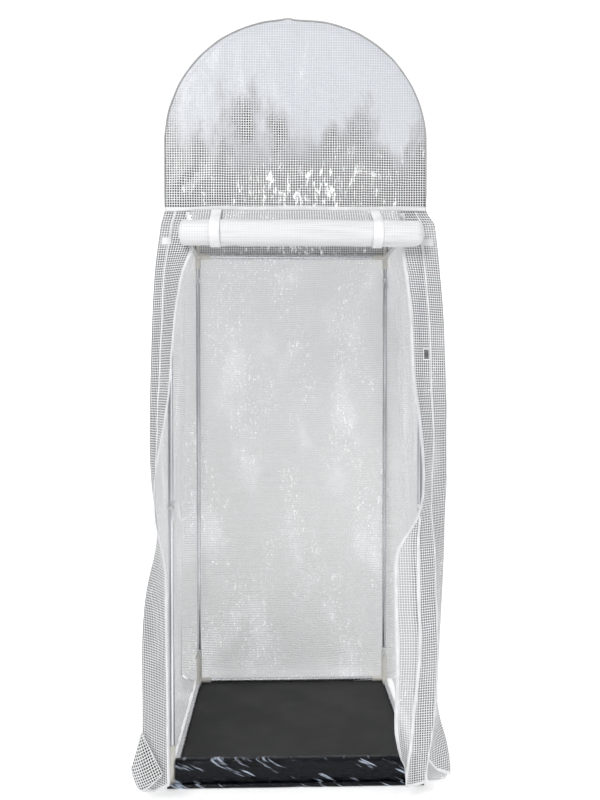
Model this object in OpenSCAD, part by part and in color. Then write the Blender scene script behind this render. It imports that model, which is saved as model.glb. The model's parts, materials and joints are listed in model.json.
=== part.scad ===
// Mini pop up greenhouse: a push-fit steel tube frame with an arched top, and a sewn
// cover of thread-reinforced film whose front door is rolled up under the eave.
// Millimetres, +Z up, the door faces -Y. The origin is on the ground under the
// middle of the frame.

/* [Frame] */
// Distance between the centres of the left and right uprights
frame_w = 720; // [640:10:800]
// Distance between the centres of the front and back uprights
frame_d = 720; // [640:10:800]
// Height of the centre of the eave tubes
eave_h = 1650; // [1600:10:1700]
// Outer diameter of the steel tubes
tube_d = 16; // [15:0.5:17]
// Wall of the steel tubes
tube_wall = 0.8; // [0.6:0.1:1.2]
// Height at which each upright is split into two lengths
split_h = 860; // [700:10:1000]
// Diameter of the spring steel arch rods
rod_d = 9; // [8:0.5:10]
// Height at which the arch rods start to bend
spring_h = 1846; // [1820:2:1880]
// Length of the straight connector at the top of each arch
apex_w = 50; // [46:2:60]

/* [Connectors] */
// Wall of the moulded plastic sockets
socket_wall = 2.2; // [1.8:0.1:2.4]
// Length of the level sockets, from the corner
socket_len = 46; // [40:2:60]
// Height of the top of the upright sockets of the base corners
base_socket_top = 118; // [80:2:140]

/* [Cover] */
// Thickness of the film
film = 1; // [0.8:0.1:1.2]
// Height of the sewn seam between the gable and the front
seam_h = 1663; // [1660:1:1680]
// Width of the tape over that seam
tape_w = 20; // [16:1:24]
// Height of the knee where the loose sides start to hang straight
knee_h = 1530; // [1500:10:1540]
// Half width of the cover at the knee
knee_x = 405; // [395:5:415]
// Half depth of the cover at the knee
knee_y = 385; // [380:1:395]
// Half width of the cover on the ground
skirt_x = 440; // [420:5:450]
// Half depth of the cover on the ground
skirt_y = 415; // [400:5:425]
// Width of the front flaps beside the doorway
flap_w = 110; // [90:5:115]
// Angle that the flaps stand open by at rest
flap_open = 30; // [0:5:60]
// Height of the black sill
sill_h = 75; // [60:5:90]

/* [Door roll] */
// Outer diameter of the rolled door
roll_d = 76; // [70:2:80]
// Left and right ends of the roll
roll_left = -331; // [-340:1:-320]
roll_right = 355; // [340:1:360]
// Height of the axis of the roll
roll_h = 1581; // [1575:1:1585]
// Distance of the axis of the roll in front of the origin
roll_y = 430; // [428:1:440]
// Place and width of the two roll straps
strap_x = 224; // [180:2:260]
strap_w = 28; // [20:2:32]

/* [Zips and ties] */
// Distance of the zips from the middle
zip_x = 300; // [295:1:305]
// Height of the bow on the front left upright
bow_h = 808; // [780:4:840]
// Height of the eyelet in the right flap
eyelet_h = 1248; // [1200:4:1300]

/* [Hidden] */
$fn = 64;

half_w = frame_w / 2;
half_d = frame_d / 2;
tube_r = tube_d / 2;
rod_r = rod_d / 2;
fit = 0.1;
socket_r = tube_r + fit + socket_wall;
rod_socket_r = rod_r + fit + socket_wall;
seat = 12;
base_h = film + socket_r;
spigot_len = 50;
arch_r = half_w - apex_w / 2;
apex_h = spring_h + arch_r;
roof_gap = socket_r + 0.5;
front_y = half_d + roof_gap;
roof_x = half_w + roof_gap;
edge_gap = 1.5;
knee_drop = seam_h - knee_h;
knee_top_x = roof_x + film;
knee_top_y = front_y + film;
sill_top_w = 28;
hem_r = 7;
flap_rise = 8;
hinge_gap = 2;
eyelet_r = 2.5;
eyelet_ring_r = 5;
patch_w = 22;
patch_h = 32;
strap_t = 1.2;
strap_gap = 0.4;
steel = "silver";
moulding = "whitesmoke";
clear_film = [0.86, 0.89, 0.93, 0.55];
tape = "white";
black_film = [0.06, 0.07, 0.09];

// Turns +Z to point along X or Y, to the side that s says
module along_x(s) rotate([0, s * 90, 0]) children();
module along_y(s) rotate([-s * 90, 0, 0]) children();

// Mirrors to the left side where s is -1
module side(s) mirror([s < 0 ? 1 : 0, 0, 0]) children();

module pipe(length, r_out, wall) {
    difference() {
        cylinder(h = length, r = r_out);
        translate([0, 0, -1]) cylinder(h = length + 2, r = r_out - wall);
    }
}

// A socket along +Z from a corner's centre, and the hole that its tube sits in
module socket(length, r) cylinder(h = length, r = r);
module socket_hole(length, r) translate([0, 0, seat]) cylinder(h = length, r = r + fit);

module base_corner(sx, sy) {
    riser = base_socket_top - base_h;
    color(moulding) translate([sx * half_w, sy * half_d, base_h]) difference() {
        union() {
            sphere(r = socket_r);
            socket(riser, socket_r);
            along_x(-sx) socket(socket_len, socket_r);
            along_y(-sy) socket(socket_len, socket_r);
        }
        socket_hole(riser, tube_r);
        along_x(-sx) socket_hole(socket_len, tube_r);
        along_y(-sy) socket_hole(socket_len, tube_r);
    }
}

module eave_corner(sx, sy) {
    color(moulding) translate([sx * half_w, sy * half_d, eave_h]) difference() {
        union() {
            sphere(r = socket_r);
            socket(socket_len, rod_socket_r);
            mirror([0, 0, 1]) socket(socket_len, socket_r);
            along_x(-sx) socket(socket_len, socket_r);
            along_y(-sy) socket(socket_len, socket_r);
        }
        socket_hole(socket_len, rod_r);
        mirror([0, 0, 1]) socket_hole(socket_len, tube_r);
        along_x(-sx) socket_hole(socket_len, tube_r);
        along_y(-sy) socket_hole(socket_len, tube_r);
    }
}

module upright_lower(sx, sy) {
    foot = base_h + seat;
    color(steel) translate([sx * half_w, sy * half_d, foot])
        pipe(split_h - foot, tube_r, tube_wall);
}

// The upper length has a reduced end that pushes into the lower one
module upright_upper(sx, sy) {
    spigot_r = tube_r - tube_wall - fit;
    color(steel) translate([sx * half_w, sy * half_d, split_h]) {
        pipe(eave_h - seat - split_h, tube_r, tube_wall);
        translate([0, 0, -spigot_len]) pipe(spigot_len + 2, spigot_r, tube_wall);
        pipe(2, tube_r, tube_wall + 2 * fit);
    }
}

module tube_x(sy, z) {
    color(steel) translate([seat - half_w, sy * half_d, z])
        along_x(1) pipe(frame_w - 2 * seat, tube_r, tube_wall);
}

module tube_y(sx, z) {
    color(steel) translate([sx * half_w, seat - half_d, z])
        along_y(1) pipe(frame_d - 2 * seat, tube_r, tube_wall);
}

// Sweeps a flat shape, drawn round the rod's centre, along the right half of an arch
module half_arch(low_z, end_x) {
    translate([half_w, 0, low_z]) linear_extrude(spring_h - low_z) children();
    translate([apex_w / 2, 0, spring_h]) rotate([90, 0, 0])
        rotate_extrude(angle = 90) translate([arch_r, 0]) children();
    translate([end_x, 0, apex_h]) along_x(1)
        linear_extrude(apex_w / 2 - end_x) rotate(90) children();
}

module arch_rod(sx, sy) {
    color(steel) translate([0, sy * half_d, 0]) side(sx)
        half_arch(eave_h + seat, 4) circle(r = rod_r);
}

// The sewn sleeve round the arch rods, from corner to apex connector on each side
module arch_sleeve(sy) {
    wall = 2.6;
    sleeve_r = rod_r + fit + wall;
    color(tape) translate([0, sy * half_d, 0]) for (s = [-1, 1]) side(s)
        half_arch(eave_h + socket_len + edge_gap, apex_w / 2 - 1) difference() {
            circle(r = sleeve_r);
            circle(r = rod_r + fit);
        }
}

module apex_connector(sy) {
    wide = apex_w - 4;
    color(moulding) translate([0, sy * half_d, apex_h]) difference() {
        union() {
            translate([-wide / 2, 0, 0]) along_x(1) cylinder(h = wide, r = rod_socket_r);
            along_y(-sy) cylinder(h = socket_len, r = rod_socket_r);
        }
        for (s = [-1, 1]) along_x(s)
            translate([0, 0, 3]) cylinder(h = wide, r = rod_r + fit);
        along_y(-sy) socket_hole(socket_len, rod_r);
    }
}

module ridge_rod() {
    color(steel) translate([0, seat - half_d, apex_h])
        along_y(1) cylinder(h = frame_d - 2 * seat, r = rod_r);
}

// The outline of the arch at a distance outside the rods' centre line
module arch_outline(grow, low_z) {
    r = arch_r + grow;
    for (s = [-1, 1]) side(s) translate([apex_w / 2, spring_h]) intersection() {
        circle(r = r);
        square(r);
    }
    translate([-apex_w / 2, spring_h]) square([apex_w, r]);
    translate([-half_w - grow, low_z]) square([frame_w + 2 * grow, spring_h - low_z]);
}

module gable(sy) {
    color(clear_film) translate([0, sy * (front_y + film / 2) + film / 2, 0])
        rotate([90, 0, 0]) linear_extrude(film)
            arch_outline(roof_gap - fit, seam_h + edge_gap);
}

module roof_panel() {
    long = 2 * front_y - 2 * fit;
    color(clear_film) translate([0, long / 2, 0]) rotate([90, 0, 0])
        linear_extrude(long) difference() {
            arch_outline(roof_gap + film, seam_h + edge_gap);
            arch_outline(roof_gap, seam_h - edge_gap);
        }
}

// A flat panel that leans in as it rises: half widths below and above, and its slope
module leaning_panel(low_w, high_w, lean, rise) {
    slope = sqrt(lean * lean + rise * rise);
    rotate([atan2(lean, rise), 0, 0]) rotate([90, 0, 0]) linear_extrude(film)
        polygon([[-low_w, 0], [low_w, 0], [high_w, slope], [-high_w, slope]]);
}

module wall_side(s) {
    color(clear_film) rotate([0, 0, s * -90]) {
        translate([0, skirt_x, 0])
            leaning_panel(skirt_y - edge_gap, knee_y - edge_gap, skirt_x - knee_x, knee_h);
        translate([0, knee_x, knee_h]) leaning_panel(
            knee_y - edge_gap, knee_top_y - edge_gap, knee_x - knee_top_x, knee_drop);
    }
}

module wall_back() {
    color(clear_film) {
        translate([0, skirt_y, 0]) leaning_panel(
            skirt_x - 2 * edge_gap, knee_x - 2 * edge_gap, skirt_y - knee_y, knee_h);
        translate([0, knee_y, knee_h]) leaning_panel(
            knee_x - 2 * edge_gap, knee_top_x - 2 * edge_gap, knee_y - knee_top_y, knee_drop);
    }
}

// Puts its children on the slope behind the roll, with z along the slope from the knee
front_lean = atan2(knee_y - knee_top_y, knee_drop);
front_slope = sqrt(pow(knee_y - knee_top_y, 2) + pow(knee_drop, 2));
module on_front_slope() {
    translate([0, -knee_y, knee_h]) rotate([-front_lean, 0, 0]) children();
}

module flap_top(s) {
    color(clear_film) side(s) on_front_slope() rotate([90, 0, 0]) linear_extrude(film)
        polygon([
            [zip_x, 0], [knee_x - edge_gap, 0],
            [knee_top_x - edge_gap, front_slope], [zip_x, front_slope]
        ]);
}

// Puts its children in the plane of the right flap, hinge edge at x = 0, z up the edge
fold = [knee_x - skirt_x, skirt_y - knee_y, knee_h];
fold_len = norm(fold);
module in_flap_plane() {
    translate([skirt_x, -skirt_y, 0])
        rotate([-asin(fold[1] / fold_len), atan2(fold[0], fold[2]), 0])
            rotate([0, 0, flap_open]) children();
}

// Where the eyelet is in that plane
eyelet_x = -flap_w / 2;

module flap(s) {
    color(clear_film) side(s) in_flap_plane() difference() {
        translate([-flap_w, -film, flap_rise])
            cube([flap_w - hinge_gap, film, fold_len - flap_rise - edge_gap]);
        if (s > 0) translate([eyelet_x, 1, eyelet_h]) rotate([90, 0, 0])
            cylinder(h = film + 2, r = eyelet_ring_r - 1);
    }
}

module eyelet_patch() {
    color(tape) in_flap_plane() translate([eyelet_x, -film - fit, eyelet_h]) difference() {
        translate([-patch_w / 2, -film, -patch_h / 2]) cube([patch_w, film, patch_h]);
        translate([0, 1, 0]) rotate([90, 0, 0]) cylinder(h = film + 2, r = eyelet_ring_r - 1);
    }
}

// A pressed ring whose barrel passes through the patch and the flap
module eyelet() {
    barrel_r = eyelet_ring_r - 1 - fit;
    color("dimgray") in_flap_plane() translate([eyelet_x, 0, eyelet_h]) rotate([90, 0, 0])
        difference() {
            union() {
                translate([0, 0, -1 - fit]) cylinder(h = 2 * film + 2 + 3 * fit, r = barrel_r);
                translate([0, 0, -1 - fit]) cylinder(h = 1, r = eyelet_ring_r);
                translate([0, 0, 2 * film + 2 * fit]) cylinder(h = 1, r = eyelet_ring_r);
            }
            translate([0, 0, -3]) cylinder(h = 10, r = eyelet_r);
        }
}

module eave_tape() {
    color(tape) translate([-knee_top_x, -knee_top_y - 3.2, seam_h - tape_w / 2])
        cube([2 * knee_top_x, film, tape_w]);
}

module floor_sheet() {
    color([0.2, 0.2, 0.2]) translate([-half_w - socket_r, -half_d - socket_r, 0])
        cube([frame_w + 2 * socket_r, frame_d + 2 * socket_r, film]);
}

// Black film folded over the front base tube: two legs and the fold between them
module door_sill() {
    long = frame_w - 2 * socket_r - 2;
    color(black_film) translate([-long / 2, -half_d - sill_top_w / 2, film + fit]) difference() {
        cube([long, sill_top_w, sill_h]);
        translate([-1, film, -1]) cube([long + 2, sill_top_w - 2 * film, sill_h + 1 - film]);
    }
}

module sill_hem() {
    long = frame_w + 2 * socket_r;
    color(black_film)
        translate([-long / 2, -half_d - sill_top_w / 2 - hem_r - fit, hem_r])
            along_x(1) cylinder(h = long, r = hem_r);
}

// Both tapes and the closed teeth of a zip, above its slider
zip_low = 62;
chain_w = 5;
chain_front = -film - 3.2;
module zip_top(s) {
    tall = front_slope - zip_low - 12;
    color(tape) side(s) on_front_slope() {
        translate([zip_x - 11, -film - 1.2, zip_low]) cube([22, 1, tall]);
        translate([zip_x - chain_w / 2, chain_front, zip_low]) cube([chain_w, 2.2, tall]);
    }
}

// Places its children at the middle of a zip slider, on the front of the teeth
slider_z = 104;
slider_h = 12;
pull_y = -4.6;
module at_slider(s) {
    side(s) on_front_slope() translate([zip_x, chain_front - 0.3, slider_z]) children();
}

module zip_slider(s) {
    outer = chain_w + 4;
    color("gainsboro") at_slider(s) {
        translate([-outer / 2, -2, -slider_h / 2]) cube([outer, 2, slider_h]);
        for (e = [-1, 1]) {
            translate([e * (chain_w / 2 + 1.2) - 0.8, -0.5, -slider_h / 2])
                cube([1.6, 2.4, slider_h]);
            translate([e * 2.6 - 0.7, pull_y - 1.2, -2.5]) cube([1.4, 3.8, 5]);
        }
        translate([-2.6, pull_y + 0.6, 0]) along_x(1) cylinder(h = 5.2, r = 0.8);
    }
}

// A tab that swings on the slider's pin
module zip_pull(s) {
    color("gainsboro") at_slider(s) translate([0, pull_y + 0.6, 0]) difference() {
        union() {
            translate([-1.5, 0, 0]) along_x(1) cylinder(h = 3, r = 1.7);
            translate([-1.5, -1, -6]) cube([3, 1.6, 5]);
            translate([-3, -1, -14]) cube([6, 1.6, 9]);
        }
        translate([-3, 0, 0]) along_x(1) cylinder(h = 6, r = 0.86);
    }
}

module door_roll() {
    core_r = 22;
    color("white") translate([roll_left, -roll_y, roll_h]) along_x(1) difference() {
        union() {
            translate([0, 0, 6]) cylinder(h = roll_right - roll_left - 12, r = roll_d / 2);
            cylinder(h = roll_right - roll_left, r = roll_d / 2 - 4);
        }
        translate([0, 0, -1]) cylinder(h = roll_right - roll_left + 2, r = core_r);
    }
}

// The outline of a strap that hangs from the seam and goes round the roll
hang_y = knee_top_y + 3.4;
hang_h = seam_h - 2;
strap_r = roll_d / 2 + strap_gap + strap_t;
module strap_outline(r) {
    reach_y = roll_y - hang_y;
    reach_z = hang_h - roll_h - (strap_r - r) * 2;
    reach = norm([reach_y, reach_z]);
    towards = atan2(reach_z, reach_y);
    spread = acos(r / reach);
    steps = 40;
    sweep = 360 - 2 * spread;
    polygon([
        [reach_y, reach_z],
        for (i = [0:steps]) let (a = towards + spread + sweep * i / steps) r * [cos(a), sin(a)]
    ]);
}

module roll_straps() {
    color(tape) for (s = [-1, 1])
        translate([s * strap_x - strap_w / 2, -roll_y, roll_h]) rotate([90, 0, 90])
            linear_extrude(strap_w) difference() {
                strap_outline(strap_r);
                strap_outline(strap_r - strap_t);
            }
}

// A ribbon tied round an upright, with its knot towards -Y
module tie_ring(sx, sy, z) {
    wide = 8;
    translate([sx * half_w, sy * half_d, z]) {
        pipe(wide, tube_r + 1.4, 1.2);
        translate([-5, -tube_r - 5.6, -1]) cube([10, 5, wide + 2]);
    }
}

module bow_tie_left() {
    color(tape) {
        tie_ring(-1, -1, bow_h);
        translate([-half_w + 5.2, -half_d - tube_r - 4.5, bow_h]) {
            difference() {
                translate([0, 0, -14]) cube([26, 2.4, 32]);
                translate([1.5, -1, -12.5]) cube([23, 5, 29]);
            }
            translate([26.2, 0, -26]) cube([1.5, 2.4, 30]);
        }
    }
}

module ties() {
    color(tape) {
        tie_ring(-1, -1, eave_h - 88);
        for (sx = [-1, 1]) tie_ring(sx, 1, base_socket_top + 10);
        for (sx = [-1, 1]) tie_ring(sx, 1, eave_h - 88);
        tie_ring(1, -1, eave_h - 88);
        tie_ring(1, -1, bow_h);
    }
}

floor_sheet();
door_sill();
sill_hem();
tube_x(-1, base_h);  // base_tube_front
tube_x(1, base_h);  // base_tube_back
tube_y(-1, base_h);  // base_tube_left
tube_y(1, base_h);  // base_tube_right
base_corner(-1, -1);  // base_corner_front_left
base_corner(1, -1);  // base_corner_front_right
base_corner(-1, 1);  // base_corner_back_left
base_corner(1, 1);  // base_corner_back_right
upright_lower(-1, -1);  // upright_lower_front_left
upright_lower(1, -1);  // upright_lower_front_right
upright_lower(-1, 1);  // upright_lower_back_left
upright_lower(1, 1);  // upright_lower_back_right
upright_upper(-1, -1);  // upright_upper_front_left
upright_upper(1, -1);  // upright_upper_front_right
upright_upper(-1, 1);  // upright_upper_back_left
upright_upper(1, 1);  // upright_upper_back_right
eave_corner(-1, -1);  // eave_corner_front_left
eave_corner(1, -1);  // eave_corner_front_right
eave_corner(-1, 1);  // eave_corner_back_left
eave_corner(1, 1);  // eave_corner_back_right
tube_x(-1, eave_h);  // eave_tube_front
tube_x(1, eave_h);  // eave_tube_back
tube_y(-1, eave_h);  // eave_tube_left
tube_y(1, eave_h);  // eave_tube_right
arch_rod(-1, -1);  // arch_rod_front_left
arch_rod(1, -1);  // arch_rod_front_right
arch_rod(-1, 1);  // arch_rod_back_left
arch_rod(1, 1);  // arch_rod_back_right
apex_connector(-1);  // apex_connector_front
apex_connector(1);  // apex_connector_back
ridge_rod();
arch_sleeve(-1);  // arch_sleeve_front
arch_sleeve(1);  // arch_sleeve_back
gable(-1);  // gable_front
gable(1);  // gable_back
roof_panel();
wall_side(-1);  // wall_left
wall_side(1);  // wall_right
wall_back();
flap_top(-1);  // flap_top_left
flap_top(1);  // flap_top_right
eave_tape();
flap(-1);  // flap_left
flap(1);  // flap_right
eyelet_patch();
eyelet();
zip_top(-1);  // zip_top_left
zip_top(1);  // zip_top_right
zip_slider(-1);  // zip_slider_left
zip_slider(1);  // zip_slider_right
zip_pull(-1);  // zip_pull_left
zip_pull(1);  // zip_pull_right
door_roll();
roll_straps();
bow_tie_left();
ties();
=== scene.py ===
"""A mini pop up greenhouse: its film cover, rolled door, zips and ribbons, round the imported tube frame."""

import json
import math

import bpy
import numpy as np
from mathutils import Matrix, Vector


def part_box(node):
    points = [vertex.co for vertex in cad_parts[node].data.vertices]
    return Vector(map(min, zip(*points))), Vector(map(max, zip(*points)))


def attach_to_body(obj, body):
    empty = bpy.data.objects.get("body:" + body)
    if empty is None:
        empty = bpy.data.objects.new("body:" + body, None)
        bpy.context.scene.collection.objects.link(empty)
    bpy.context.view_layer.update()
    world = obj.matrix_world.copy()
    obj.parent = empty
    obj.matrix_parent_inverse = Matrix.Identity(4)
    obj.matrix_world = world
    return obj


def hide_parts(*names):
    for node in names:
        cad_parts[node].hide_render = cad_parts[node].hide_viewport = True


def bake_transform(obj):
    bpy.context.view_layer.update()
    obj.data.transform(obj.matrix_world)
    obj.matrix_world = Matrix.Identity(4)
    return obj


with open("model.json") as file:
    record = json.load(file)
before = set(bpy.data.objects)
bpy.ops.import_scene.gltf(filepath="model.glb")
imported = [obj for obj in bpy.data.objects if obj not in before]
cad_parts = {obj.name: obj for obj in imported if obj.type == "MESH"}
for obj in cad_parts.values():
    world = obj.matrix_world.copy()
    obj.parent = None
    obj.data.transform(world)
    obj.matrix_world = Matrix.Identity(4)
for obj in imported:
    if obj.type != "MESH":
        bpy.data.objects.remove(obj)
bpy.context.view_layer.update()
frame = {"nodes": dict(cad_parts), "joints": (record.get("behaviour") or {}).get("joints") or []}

# ---------------------------------------------------------------- measures from the frame


def middle(node):
    """The middle of a CAD node's box."""
    low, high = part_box(node)
    return (low + high) / 2


def extent(node):
    """The three sides of a CAD node's box."""
    low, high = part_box(node)
    return high - low


JOINTS = {joint["name"]: joint for joint in frame["joints"]}
ROOT = "frame_and_cover"
ROLL_BODY = "door_roll"
HALF = middle("upright_lower_front_right").x
TUBE_R = extent("upright_lower_front_right").x / 2
ROD_R = extent("ridge_rod").x / 2
SEAM_Z = middle("eave_tape").z
TAPE_W = extent("eave_tape").z
APEX_HALF = 0.025
SKIN_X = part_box("roof_panel")[1].x
SKIN_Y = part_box("gable_back")[1].y
SKIN_R = SKIN_X - APEX_HALF
SPRING_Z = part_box("roof_panel")[1].z - SKIN_R
ROD_ARCH_R = HALF - APEX_HALF
KNEE_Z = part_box("flap_right")[1].z
FOLD_FOOT = Vector(JOINTS["right_flap_fold"]["pos_m"])
FOLD_UP = Vector(JOINTS["right_flap_fold"]["axis"])
FOLD_KNEE = FOLD_FOOT + FOLD_UP * (KNEE_Z / FOLD_UP.z)
HANG = Vector(JOINTS["door_roll_swing"]["pos_m"])
ROLL = middle("door_roll")
ROLL_R = extent("door_roll").z / 2
ROLL_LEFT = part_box("door_roll")[0].x
ROLL_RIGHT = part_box("door_roll")[1].x
ZIP_X = middle("zip_slider_right").x
EYELET = middle("eyelet")
# How far apart the film's threads are
GRID = 0.007

# ---------------------------------------------------------------- shapes


def smooth(t):
    """An even start and stop between 0 and 1."""
    t = np.clip(t, 0, 1)
    return t * t * (3 - 2 * t)


def curve_through(z, stations, column):
    """A smooth curve through one column of a list of stations, each (height, value, ...)."""
    heights = [station[0] for station in stations]
    values = [station[column] for station in stations]
    spread = np.linspace(-1, 1, 9) * 0.045
    near = [np.interp(np.asarray(z) + d, heights, values) for d in spread]
    return np.mean(near, axis=0)


def noise(u, v, seed):
    """Smooth random heights from -1 to 1, one hill for each unit of u and v."""
    table = np.random.default_rng(seed).uniform(-1, 1, (61, 67))
    u, v = np.broadcast_arrays(np.asarray(u, float), np.asarray(v, float))
    i, j = np.floor(u).astype(int), np.floor(v).astype(int)
    a, b = smooth(u - i), smooth(v - j)
    low = table[i % 61, j % 67] * (1 - a) + table[(i + 1) % 61, j % 67] * a
    high = table[i % 61, (j + 1) % 67] * (1 - a) + table[(i + 1) % 61, (j + 1) % 67] * a
    return low * (1 - b) + high * b


def creases(u, v, size, seed):
    """Heights of sharp creases in film, from -1 to 0, with flat facets about as wide as size between them."""
    bend = noise(u / size / 2, v / size / 2, seed + 9)
    total = 0
    for step, share in ((1.0, 0.65), (0.5, 0.35)):
        total = total - share * np.abs(
            noise(u / size / step + bend, v / size / step * 0.7 - bend, seed + int(step * 4))
        )
    return total


# Height, then half the width of the cover at its front corners: let out at the foot, and drawn in where
# the ribbons tie it to the frame
WAIST = {
    -1: (
        (0.0, 0.438), (0.2, 0.434), (0.43, 0.436), (0.52, 0.431), (0.58, 0.424), (0.64, 0.411),
        (0.70, 0.395), (0.75, 0.392), (0.815, 0.402), (0.915, 0.412), (1.03, 0.4135), (1.14, 0.412),
        (1.26, 0.4085), (1.375, 0.405), (1.49, 0.398), (1.575, 0.387), (SEAM_Z, 0.376),
    ),
    1: (
        (0.0, 0.443), (0.03, 0.442), (0.12, 0.436), (0.18, 0.420), (0.23, 0.402), (0.30, 0.402),
        (0.37, 0.406), (0.455, 0.4105), (0.545, 0.4145), (0.63, 0.4185), (0.74, 0.421), (0.80, 0.423),
        (0.915, 0.427), (1.03, 0.427), (1.145, 0.427), (1.26, 0.423), (1.35, 0.420), (1.42, 0.415),
        (1.52, 0.406), (1.575, 0.401), (1.63, 0.396), (SEAM_Z, 0.392),
    ),
}


def corner(z, side, drawn=1.0):
    """Half the width and half the depth of the cover at height z. drawn is 1 in front, 0 at the back."""
    z = np.asarray(z, float)
    down = np.clip(z / KNEE_Z, 0, 1)
    x = FOLD_FOOT.x + (FOLD_KNEE.x - FOLD_FOOT.x) * down
    y = -FOLD_FOOT.y - (FOLD_KNEE.y - FOLD_FOOT.y) * down
    up = smooth((z - KNEE_Z) / (SEAM_Z - KNEE_Z))
    x = x + (SKIN_X - x) * up
    front_x = curve_through(z, WAIST[side], 1)
    front_x = front_x + (SKIN_X - front_x) * smooth((z - SEAM_Z + 0.05) / 0.05)
    return x + (front_x - x) * drawn, y + (SKIN_Y - y) * up


def corner_at(side, z):
    """The point of a front corner fold at height z. side is -1 for the left and 1 for the right."""
    x, y = corner(z, side)
    return side * float(x), -float(y), z


def arch_line(share, r, low_z):
    """Points (x, z) and outward normals along an arch of radius r, and its length.

    share goes from 0 at its left foot to 1 at its right foot, and both feet are at low_z.
    """
    leg = SPRING_Z - low_z
    bend = math.pi / 2 * r
    length = 2 * (leg + bend + APEX_HALF)
    along = np.abs(np.asarray(share, float) * length - length / 2)
    sign = np.where(np.asarray(share) < 0.5, -1.0, 1.0)
    angle = np.clip((along - APEX_HALF) / r, 0, math.pi / 2)
    x = np.minimum(along, APEX_HALF) + r * np.sin(angle)
    z = SPRING_Z + r * np.cos(angle) - np.maximum(along - APEX_HALF - bend, 0)
    return sign * x, z, sign * np.sin(angle), np.cos(angle), length


def mesh_object(name, verts, faces, material, smooth_shade=True):
    """A new object from points and faces."""
    mesh = bpy.data.meshes.new(name)
    mesh.from_pydata(np.asarray(verts, float).tolist(), [], faces)
    mesh.polygons.foreach_set("use_smooth", [smooth_shade] * len(mesh.polygons))
    mesh.materials.append(material)
    thing = bpy.data.objects.new(name, mesh)
    bpy.context.scene.collection.objects.link(thing)
    return thing


def quads(rows, cols, closed=False):
    """The faces of a grid of points. When it is closed, its last column joins its first."""
    index = np.arange(rows * cols).reshape(rows, cols)
    if closed:
        index = np.hstack([index, index[:, :1]])
    corners = (index[:-1, :-1], index[:-1, 1:], index[1:, 1:], index[1:, :-1])
    return np.stack([c.ravel() for c in corners], axis=1).tolist()


def capped(rows, sides):
    """The faces of a tube: rings of so many points, one for each row, and a face over each end."""
    last = (rows - 1) * sides
    ends = [list(range(sides))[::-1], [last + k for k in range(sides)]]
    return quads(rows, sides, closed=True) + ends


def sheet_object(name, points, cloth, material):
    """A sheet from rows and columns of points. Each point's UV is its place on the flat cloth, in metres."""
    rows, cols = points.shape[:2]
    thing = mesh_object(name, points.reshape(-1, 3), quads(rows, cols), material)
    layer = thing.data.uv_layers.new(name="cloth")
    where = np.zeros(len(thing.data.loops), int)
    thing.data.loops.foreach_get("vertex_index", where)
    layer.data.foreach_set("uv", cloth.reshape(-1, 2)[where].ravel().astype(np.float32))
    return thing


def stack(*parts):
    """Points from their coordinates, which may be numbers or arrays that fit each other."""
    return np.stack(np.broadcast_arrays(*[np.asarray(p, float) for p in parts]), axis=-1)


def tube_along(name, path, radius, material, sides=10, squeeze=1.0):
    """A closed round tube along a path of points. Its radius may change from point to point."""
    path = np.asarray(path, float)
    ahead = np.gradient(path, axis=0)
    ahead /= np.linalg.norm(ahead, axis=1, keepdims=True)
    side = np.cross(ahead, [0.13, 0.41, 0.9])
    side /= np.linalg.norm(side, axis=1, keepdims=True)
    up = np.cross(side, ahead)
    turn = np.linspace(0, 2 * math.pi, sides, endpoint=False)
    radius = np.broadcast_to(np.asarray(radius, float), len(path))[:, None, None]
    ring = np.cos(turn)[None, :, None] * side[:, None] + squeeze * np.sin(turn)[None, :, None] * up[:, None]
    points = path[:, None] + ring * radius
    return mesh_object(name, points.reshape(-1, 3), capped(len(path), sides), material)


def ribbon_along(name, path, across, thick, material):
    """A flat ribbon: across holds, at each point of the path, the vector from one edge to the other."""
    path, across = np.asarray(path, float), np.asarray(across, float)
    across = np.broadcast_to(across, path.shape)
    ahead = np.gradient(path, axis=0)
    face = np.cross(ahead, across)
    face /= np.maximum(np.linalg.norm(face, axis=1, keepdims=True), 1e-9)
    shares = np.array([-0.5, -0.46, 0.0, 0.46, 0.5, 0.46, 0.0, -0.46])
    lifts = np.array([0.0, 0.5, 0.5, 0.5, 0.0, -0.5, -0.5, -0.5]) * thick
    points = path[:, None] + across[:, None] * shares[None, :, None] + face[:, None] * lifts[None, :, None]
    return mesh_object(name, points.reshape(-1, 3), capped(len(path), 8), material)


# The sign of each side's x or y, and its word
LEFT_RIGHT = ((-1, "left"), (1, "right"))
FRONT_BACK = ((-1, "front"), (1, "back"))
# A block's faces, by the order of its corners in blocks()
BLOCK_FACES = ((0, 1, 3, 2), (4, 6, 7, 5), (0, 4, 5, 1), (2, 3, 7, 6), (0, 2, 6, 4), (1, 5, 7, 3))


def blocks(name, centres, half_sides, material):
    """Small blocks. half_sides holds three vectors, from a block's centre to three of its sides."""
    signs = [(a, b, c) for a in (-1, 1) for b in (-1, 1) for c in (-1, 1)]
    verts = np.stack([centres + sum(k * half for k, half in zip(sign, half_sides)) for sign in signs], axis=1)
    faces = [[8 * k + i for i in quad] for k in range(len(centres)) for quad in BLOCK_FACES]
    return mesh_object(name, verts.reshape(-1, 3), faces, material, False)


def rounded_path(stops, count):
    """So many points through a short list of points, with its corners rounded."""
    stops = np.asarray(stops, float)
    places = np.linspace(0, len(stops) - 1, count)
    path = np.stack([np.interp(places, range(len(stops)), column) for column in stops.T], axis=1)
    padded = np.concatenate([np.repeat(path[:1], 3, axis=0), path, np.repeat(path[-1:], 3, axis=0)])
    return sum(padded[k:k + count] for k in range(7)) / 7


def attach(piece, slot, *nodes, body=ROOT):
    """Let a piece ride on a body and hide the CAD nodes that it stands for; slot is not used."""
    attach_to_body(piece, body)
    if nodes:
        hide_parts(*nodes)


# ---------------------------------------------------------------- materials


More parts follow.
